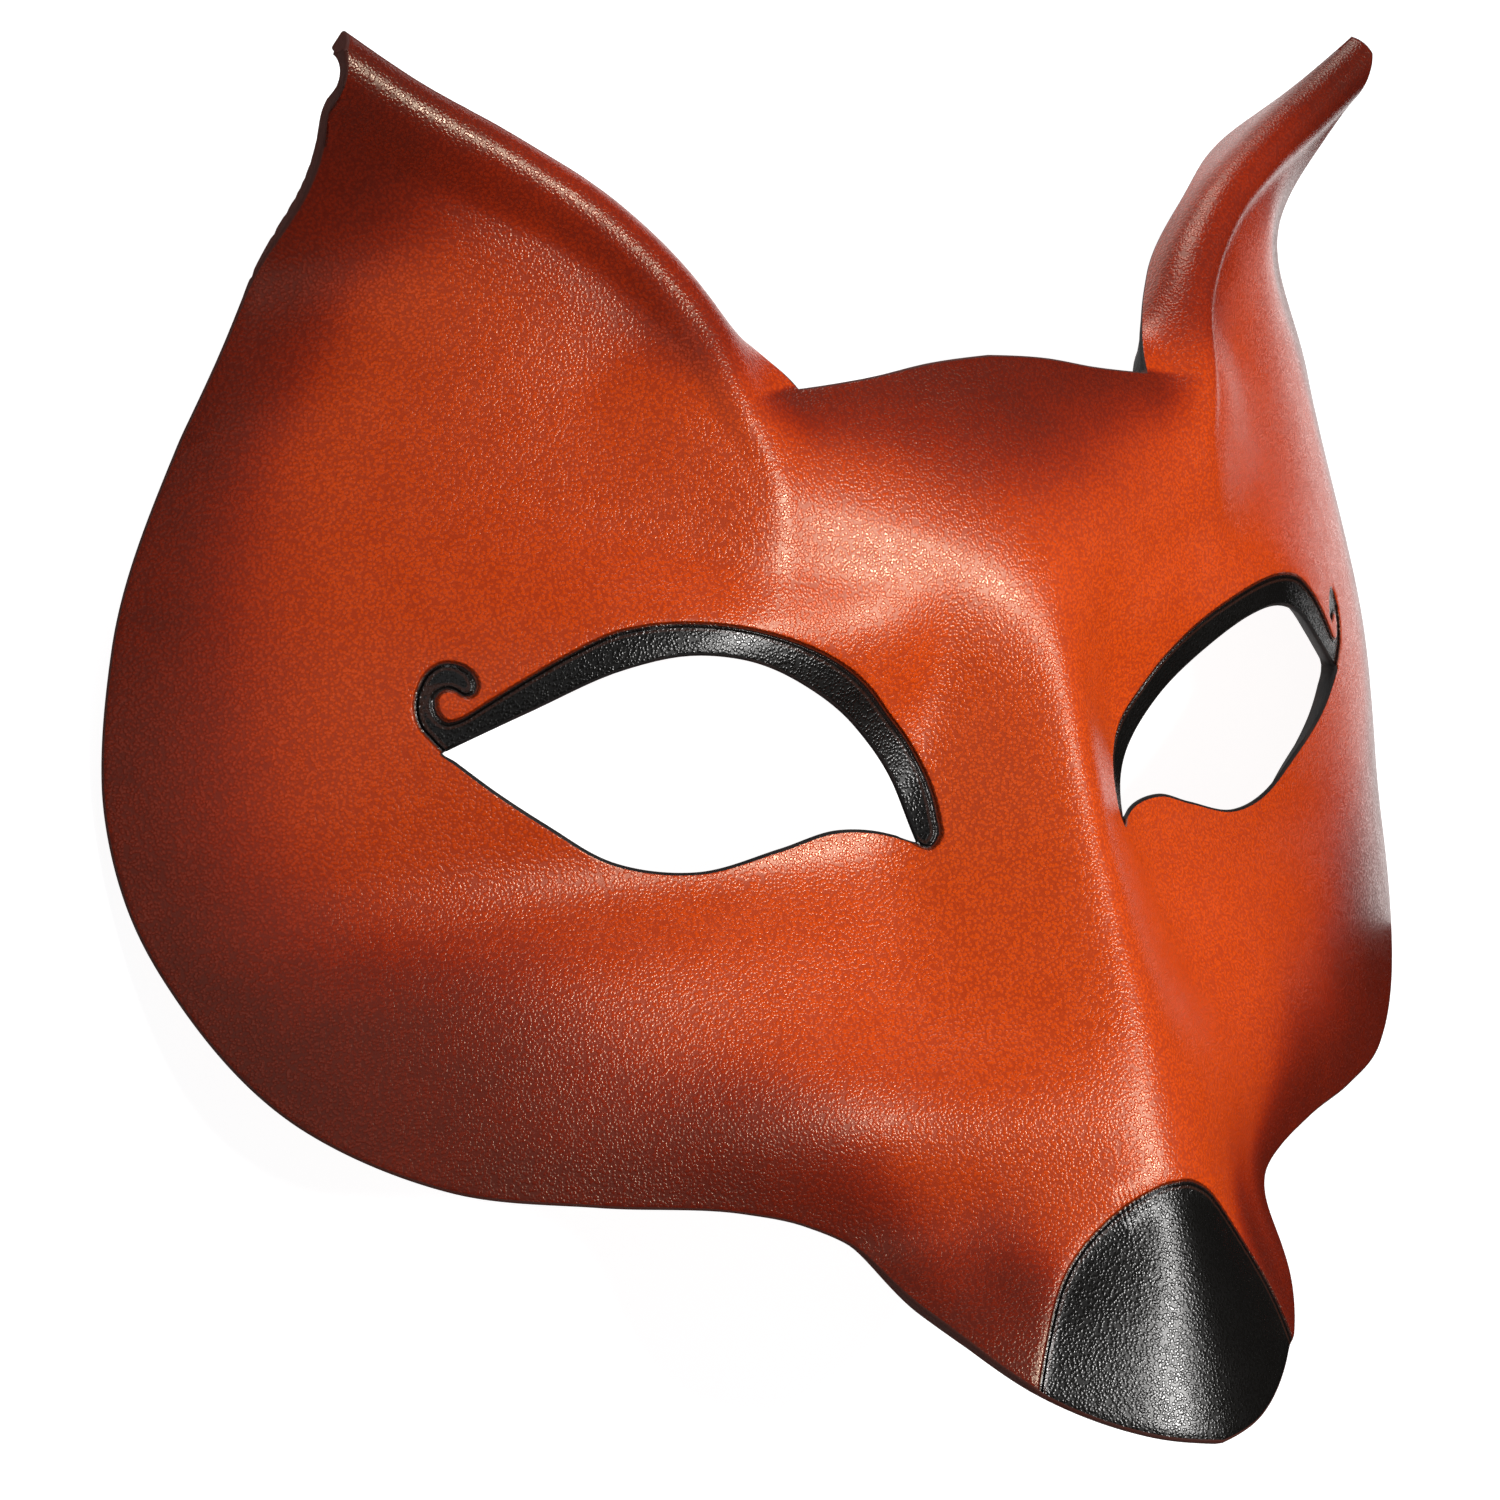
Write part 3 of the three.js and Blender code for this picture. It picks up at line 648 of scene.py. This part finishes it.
def closeShell(front, back, ends):
    # joins the two skins by their cut edges: a rounded corner, a flat cut and a rounded corner
    edges = front.rim()
    partner = np.full(len(front.points), -1)
    partner[ends[0]] = ends[1]
    after = np.full(len(front.points), -1)
    before = after.copy()
    after[edges[:, 0]] = edges[:, 1]
    before[edges[:, 1]] = edges[:, 0]
    rim = np.unique(edges)
    place = np.full(len(front.points), -1)
    place[rim] = np.arange(len(rim))
    behind = partner[rim]
    onFace = ~back.onStrip
    back.normals[onFace] = heightNormals(back.points[onFace])
    back.points -= back.normals * hide["thickness"]
    tangent = front.points[after[rim]] - front.points[before[rim]]
    normal = front.normals[rim]
    out = np.cross(tangent, normal)
    out /= np.linalg.norm(out, axis=1, keepdims=True)
    under = back.normals[behind]
    r = hide["edgeRounding"]
    half = r * (1 - math.sqrt(0.5))
    f, b = front.points[rim].copy(), back.points[behind].copy()
    rings = [
        f - out * half - normal * half, f - normal * r, b + under * r,
        b - out * half + under * half,
    ]
    front.points[rim] = f - out * r
    back.points[behind] = b - out * r
    start = len(front.points)
    backStart = start + len(rings) * len(rim)
    levels = [rim]
    for k in range(len(rings)):
        levels.append(start + k * len(rim) + np.arange(len(rim)))
    levels.append(backStart + behind)
    points = np.vstack([front.points, *rings, back.points])
    i, j = place[edges[:, 0]], place[edges[:, 1]]
    walls = []
    for near, far in zip(levels[:-1], levels[1:]):
        walls += [np.stack([near[j], near[i], far[i]], 1), np.stack([near[j], far[i], far[j]], 1)]
    backTris = back.tris[:, ::-1] + backStart
    tris = np.vstack([front.tris, *walls, backTris])
    slots = np.zeros(len(tris), int)
    slots[len(front.tris):] = 1
    slots[len(tris) - len(backTris):] = 2
    values = {}
    for name in front.values:
        onRim = front.values[name][rim]
        sides = [front.values[name], *[onRim] * len(rings), back.values[name]]
        values[name] = np.concatenate(sides)
    return points, tris, slots, values


def meshObject(name, points, tris, slots, values, materials):
    # a mesh in metres, with a material for each triangle and the finish's numbers at its points
    mesh = bpy.data.meshes.new(name)
    mesh.vertices.add(len(points))
    mesh.vertices.foreach_set("co", ((points + faceOrigin) / metre).ravel())
    mesh.loops.add(len(tris) * 3)
    mesh.loops.foreach_set("vertex_index", tris.ravel())
    mesh.polygons.add(len(tris))
    mesh.polygons.foreach_set("loop_start", np.arange(len(tris)) * 3)
    mesh.polygons.foreach_set("loop_total", np.full(len(tris), 3))
    for material in materials:
        mesh.materials.append(material)
    mesh.polygons.foreach_set("material_index", slots)
    mesh.polygons.foreach_set("use_smooth", np.ones(len(tris), bool))
    for key, value in values.items():
        layer = mesh.attributes.new(key, "FLOAT", "POINT")
        layer.data.foreach_set("value", value.astype(np.float32))
    mesh.update(calc_edges=True)
    mesh.validate()
    made = bpy.data.objects.new(name, mesh)
    bpy.context.scene.collection.objects.link(made)
    return made


class Value:
    # one socket of a node tree; sums, differences and products of it add Math nodes
    def __init__(self, paint, socket):
        self.paint = paint
        self.socket = socket

    def maths(self, operation, first, second):
        return self.paint.node(
            "ShaderNodeMath", {"operation": operation}, {0: first, 1: second}
        )

    def __add__(self, other):
        return self.maths("ADD", self, other)

    def __radd__(self, other):
        return self.maths("ADD", other, self)

    def __sub__(self, other):
        return self.maths("SUBTRACT", self, other)

    def __rsub__(self, other):
        return self.maths("SUBTRACT", other, self)

    def __mul__(self, other):
        return self.maths("MULTIPLY", self, other)

    def __rmul__(self, other):
        return self.maths("MULTIPLY", other, self)


class Paint:
    # a material and its node tree
    def __init__(self, name):
        self.material = bpy.data.materials.new(name)
        self.material.use_nodes = True
        self.tree = self.material.node_tree
        self.tree.nodes.clear()

    def node(self, kind, settings=None, sockets=None, out=0):
        # a node by its type, with its settings and the values or links of its sockets
        made = self.tree.nodes.new(kind)
        for key, value in (settings or {}).items():
            setattr(made, key, value)
        for key, value in (sockets or {}).items():
            if isinstance(value, Value):
                self.tree.links.new(value.socket, made.inputs[key])
            else:
                made.inputs[key].default_value = value
        return None if out is None else Value(self, made.outputs[out])

    def attribute(self, name):
        # one of the numbers that the mesh carries at its points
        return self.node("ShaderNodeAttribute", {"attribute_name": name}, out="Fac")

    def place(self):
        # where on the object, in metres
        return self.node("ShaderNodeTexCoord", out="Object")

    def noise(self, place, size, detail=2.0, roughness=0.5):
        # clouds from 0 to 1, of a size in metres
        return self.node(
            "ShaderNodeTexNoise", {"noise_dimensions": "3D"},
            {"Vector": place, "Scale": 1 / size, "Detail": detail, "Roughness": roughness},
        )

    def cells(self, place, size):
        # distance to the nearest of many scattered points, a size apart in metres
        return self.node(
            "ShaderNodeTexVoronoi", {"feature": "F1"},
            {"Vector": place, "Scale": 1 / size}, out="Distance",
        )

    def step(self, value, low, high):
        # 0 at low and 1 at high, smooth in between
        return self.node(
            "ShaderNodeMapRange", {"interpolation_type": "SMOOTHSTEP"},
            {"Value": value, "From Min": low, "From Max": high, "To Min": 0.0, "To Max": 1.0},
        )

    def stripe(self, gap, offset, near, far):
        # 1 where the gap is less than near from minus the offset, and 0 where more than far
        aside = self.node("ShaderNodeMath", {"operation": "ABSOLUTE"}, {0: gap + offset})
        return 1 - self.step(aside, near, far)

    def blend(self, factor, first, second, way="MIX"):
        # colours mixed by a factor; the Mix node's colour sockets are its 6, 7 and 2
        return self.node(
            "ShaderNodeMix", {"data_type": "RGBA", "blend_type": way},
            {0: factor, 6: first, 7: second}, out=2,
        )

    def bump(self, heightValue, distance, strength=1.0, under=None):
        # tilts the normal by the slope of a height, on top of another bump's tilt
        sockets = {"Height": heightValue, "Distance": distance, "Strength": strength}
        if under is not None:
            sockets["Normal"] = under
        return self.node("ShaderNodeBump", None, sockets)

    def shader(self, sockets):
        return self.node("ShaderNodeBsdfPrincipled", None, sockets)

    def finish(self, surface):
        # ends the tree with its surface
        self.node("ShaderNodeOutputMaterial", None, {"Surface": surface}, None)
        return self.material


leather = {
    "orange": (0.64, 0.06, 0.004, 1),
    "bright": (0.78, 0.084, 0.005, 1),
    "red": (0.38, 0.024, 0.005, 1),
    "burgundy": (0.115, 0.011, 0.005, 1),
    "black": (0.006, 0.0055, 0.005, 1),
    "knifeBrown": (0.06, 0.02, 0.012, 1),
    "knifeBlack": (0.012, 0.007, 0.006, 1),
    "poreShade": (0.48, 0.3, 0.3, 1),       # what the dye's colour is multiplied by in the pores
    "cloudSize": 0.022,                     # sizes and depths in metres
    "patchSize": 0.0045,
    "crumpleSize": 0.0011, "crumpleDepth": 0.00001,
    "grainSize": 0.00036, "grainDepth": 0.000034,
    "fleckSize": 0.00045,
    "knifeDepth": 0.00035,
    "roughness": 0.235,
    "blackRoughness": 0.2,
    "specular": 0.57,
    "blackSpecular": 0.48,
    "glossTint": (1.0, 0.84, 0.64, 1),      # the dyed finish warms its own gloss
}


def dyedLeather():
    # the grain side: orange dye shaded to burgundy, black inlays, knife lines, pebbled grain
    paint = Paint("dyed leather")
    place = paint.place()
    dark = paint.attribute("dark")
    heart = paint.attribute("heart")
    lid = paint.attribute("lidGap")
    nose = paint.attribute("noseGap")

    broad = paint.noise(place, leather["cloudSize"], 3.0, 0.55)
    patchy = paint.noise(place, leather["patchSize"], 3.0, 0.6)
    grain = paint.cells(place, leather["grainSize"])
    fine = paint.noise(place, leather["fleckSize"], 2.0, 0.6)
    crumple = paint.noise(place, leather["crumpleSize"], 3.0, 0.6)

    amount = dark + (broad - 0.5) * 0.3 + (patchy - 0.5) * 0.16
    colour = paint.blend(heart + (patchy - 0.5) * 0.5, leather["orange"], leather["bright"])
    toRed = paint.step(amount, 0.05, 0.75)
    toDark = paint.step(amount, 0.35, 1.15)
    colour = paint.blend(toRed * 0.9, colour, leather["red"])
    colour = paint.blend(toDark, colour, leather["burgundy"])
    pores = paint.step(grain + (fine - 0.5) * 0.5, 0.28, 0.68)
    colour = paint.blend(pores * 0.6, colour, leather["poreShade"], "MULTIPLY")

    # gap is in millimetres from the nearer inlay's outline, below 0 inside it
    gap = paint.node("ShaderNodeMath", {"operation": "MINIMUM"}, {0: lid, 1: nose})
    isBlack = 1 - paint.step(gap, -0.08, 0.04)
    line = paint.stripe(gap, 0.05, 0.1, 0.4)
    colour = paint.blend(isBlack, colour, leather["black"])
    inner = paint.stripe(gap, 0.62, 0.05, 0.22)
    colour = paint.blend(inner * 0.5, colour, leather["knifeBrown"])
    colour = paint.blend(line * 0.8, colour, leather["knifeBlack"])

    uneven = (patchy - 0.5) * 0.14 + pores * 0.12
    rough = uneven + leather["roughness"]
    blackRough = uneven + leather["blackRoughness"]

    soft = paint.bump(crumple, leather["crumpleDepth"], 0.6)
    pebbled = paint.bump(1 - pores, leather["grainDepth"], 0.75, soft)
    groove = paint.bump(1 - line, leather["knifeDepth"], 1.0, pebbled)
    dyed = paint.shader({
        "Base Color": colour, "Roughness": rough, "Normal": groove,
        "Specular IOR Level": leather["specular"], "Specular Tint": leather["glossTint"],
    })
    blackened = paint.shader({
        "Base Color": colour, "Roughness": blackRough, "Normal": groove,
        "Specular IOR Level": leather["blackSpecular"],
    })
    return paint.finish(
        paint.node("ShaderNodeMixShader", None, {0: isBlack, 1: dyed, 2: blackened})
    )


edge = {
    "black": (0.012, 0.011, 0.011, 1),       # round the eye holes
    "rim": (0.07, 0.017, 0.011, 1),          # round the outside
    "worn": (0.05, 0.03, 0.026, 1),
    "wornSize": 0.004,
    "fibreSize": 0.0005, "fibreDepth": 0.00012,
}


def cutEdge():
    # the cut through the hide, dyed dark, with its fibres just showing
    paint = Paint("dyed cut edge")
    place = paint.place()
    fibre = paint.noise(place, edge["fibreSize"], 4.0, 0.7)
    worn = paint.noise(place, edge["wornSize"], 2.0)
    outside = paint.step(paint.attribute("dark"), 0.45, 0.8)
    colour = paint.blend(outside, edge["black"], edge["rim"])
    colour = paint.blend(paint.step(worn, 0.4, 0.75) * 0.35, colour, edge["worn"])
    return paint.finish(paint.shader({
        "Base Color": colour, "Roughness": 0.5 + fibre * 0.25,
        "Normal": paint.bump(fibre, edge["fibreDepth"], 0.6), "Specular IOR Level": 0.2,
    }))


flesh = {
    "tan": (0.20, 0.085, 0.045, 1),
    "stain": (0.11, 0.035, 0.02, 1),
    "napShade": (0.07, 0.03, 0.02, 1),
    "soakSize": 0.014,
    "napSize": 0.0007, "napDepth": 0.00022,
}


def fleshSide():
    # the back of the hide: brushed and sealed, with dye soaked through in patches
    paint = Paint("flesh side")
    place = paint.place()
    nap = paint.noise(place, flesh["napSize"], 5.0, 0.75)
    soaked = paint.noise(place, flesh["soakSize"], 4.0, 0.6)
    dark = paint.attribute("dark")
    amount = paint.step(soaked + dark * 0.35, 0.4, 0.85)
    colour = paint.blend(amount, flesh["tan"], flesh["stain"])
    colour = paint.blend(nap * 0.35, colour, flesh["napShade"])
    return paint.finish(paint.shader({
        "Base Color": colour, "Roughness": 0.72 + nap * 0.2,
        "Normal": paint.bump(nap, flesh["napDepth"], 0.8),
    }))


front, back, ends = buildSkins()
print("skins:", len(front.points), "front points,", len(back.points), "back points")
points, tris, slots, values = closeShell(front, back, ends)
mask = meshObject(
    "fox_mask", points, tris, slots, values, [dyedLeather(), cutEdge(), fleshSide()]
)
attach(mask, "root")
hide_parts("mask_shell")
print("mask:", len(tris), "triangles")

stage = {
    "floorHalf": 1.6,
    "near": [0.0, -0.03, 0.132, 0.16],       # the part that shows in the gloss
    "floor": (0.42, 0.42, 0.42, 1),
    "floorShade": (0.38, 0.38, 0.38, 1),
    "floorGlow": 0.92,            # the floor is lit from below, as a light table is
    "world": (0.86, 0.9, 1.0, 1),
    "worldStrength": 0.12,
    "aim": (0, 0, 0.03),          # in the middle of the mask
    "lights": [   # name, place, size, watts, colour and whether it shows in the gloss
        ("top softbox", (0.15, -0.02, 0.78), 0.22, 5.3, (1.0, 0.985, 0.97), True),
        ("left panel", (-0.75, 0.0, 0.75), 0.6, 0.45, (0.93, 0.95, 1.0), True),
        ("ear light", (0.05, 0.75, 0.2), 0.4, 2.6, (0.95, 0.96, 1.0), True),
        ("right fill", (0.85, 0.15, 0.35), 0.6, 0.9, (0.98, 0.98, 1.0), False),
    ],
}


def addFloor(name, faces, material, glossy):
    # flat faces between corners: 0-3 are the near part's, 4-7 the whole floor's
    half = stage["floorHalf"]
    corners = []
    for left, low, right, high in (stage["near"], [-half, -half, half, half]):
        corners += [(left, low, 0), (right, low, 0), (right, high, 0), (left, high, 0)]
    used = sorted({k for face in faces for k in face})
    mesh = bpy.data.meshes.new(name)
    mesh.from_pydata(
        [corners[k] for k in used], [], [[used.index(k) for k in face] for face in faces]
    )
    mesh.materials.append(material)
    floor = bpy.data.objects.new(name, mesh)
    floor.visible_glossy = glossy
    bpy.context.scene.collection.objects.link(floor)


def addStage():
    # a pale floor, a dim even room and soft lights
    paint = Paint("pale floor")
    mottle = paint.noise(paint.place(), 0.25, 2.0)
    colour = paint.blend(mottle * 0.2, stage["floor"], stage["floorShade"])
    pale = paint.finish(paint.shader({
        "Base Color": colour, "Roughness": 0.75,
        "Emission Color": (1, 1, 1, 1), "Emission Strength": stage["floorGlow"],
    }))
    # only the part close by shows in the gloss: all of it would haze the black dye
    addFloor("floor near", [(0, 1, 2, 3)], pale, True)
    addFloor(
        "floor", [(4, 5, 1, 0), (5, 6, 2, 1), (6, 7, 3, 2), (7, 4, 0, 3)], pale, False
    )

    world = bpy.data.worlds.new("studio")
    world.use_nodes = True
    backdrop = world.node_tree.nodes["Background"]
    backdrop.inputs["Color"].default_value = stage["world"]
    backdrop.inputs["Strength"].default_value = stage["worldStrength"]
    bpy.context.scene.world = world
    world.cycles_visibility.glossy = False

    for name, place, size, watts, colour, glossy in stage["lights"]:
        lamp = bpy.data.lights.new(name, "AREA")
        lamp.shape = "DISK"
        lamp.size = size
        lamp.energy = watts
        lamp.color = colour
        held = bpy.data.objects.new(name, lamp)
        held.location = place
        held.visible_glossy = glossy
        aim = Vector(stage["aim"]) - Vector(place)
        held.rotation_euler = aim.to_track_quat("-Z", "Y").to_euler()
        bpy.context.scene.collection.objects.link(held)


view = {
    "place": (-0.4350, 0.00061, 0.51160),     # metres in the frame
    "right": (0.76219, -0.10023, 0.63956),
    "up": (0.07678, 0.99497, 0.06442),
    "back": (-0.64279, 0.0, 0.76604),
    "lens": 136.62, "sensor": 36.0,           # millimetres
    "nearest": 0.01, "farthest": 20,
}


def addCamera():
    # at the photograph's place, turned by its three axes
    camera = bpy.data.cameras.new("camera")
    camera.sensor_width = view["sensor"]
    camera.lens = view["lens"]
    camera.clip_start = view["nearest"]
    camera.clip_end = view["farthest"]
    held = bpy.data.objects.new("camera", camera)
    axes = Matrix((view["right"], view["up"], view["back"])).transposed()
    held.matrix_world = Matrix.Translation(view["place"]) @ axes.to_4x4()
    bpy.context.scene.collection.objects.link(held)
    bpy.context.scene.camera = held


addStage()
addCamera()
bpy.context.scene.view_settings.view_transform = "Standard"
print("stage and camera set")
